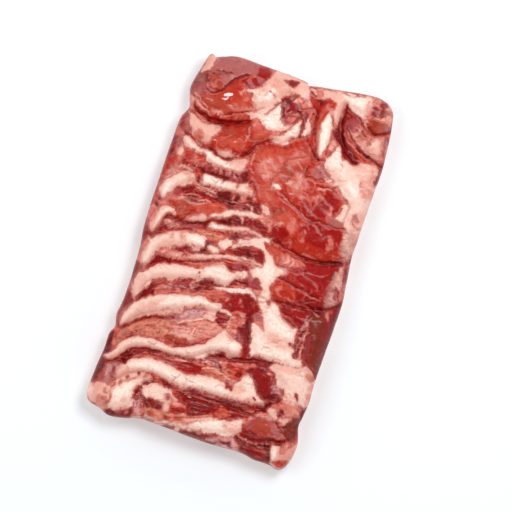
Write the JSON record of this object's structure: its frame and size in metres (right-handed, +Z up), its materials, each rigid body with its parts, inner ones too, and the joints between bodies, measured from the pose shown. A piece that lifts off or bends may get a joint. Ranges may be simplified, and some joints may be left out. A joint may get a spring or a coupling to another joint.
{
  "type": "raw pork belly slab",
  "caption": "Raw boneless pork belly, an oblong slab lying rib side up: strips of fat where the ribs lay, red muscles and folds over layered cut sides and a flat fat underside.",
  "frame": {"origin": "under the middle of the slab's outline, on the surface that it lies on", "axes": "+Y along the slab, towards the end with the smooth flap and the rolled corner, +X across it, towards the side with the broad red muscle, +Z up out of the rib side"},
  "size_m": [0.2502, 0.4416, 0.0503],
  "materials": {
    "pork": "wet raw pork, red and pink lean with cream white fat, soft sheen"
  },
  "bodies": {
    "root": {"pork_belly_slab": "pork"}
  },
  "joints": []
}
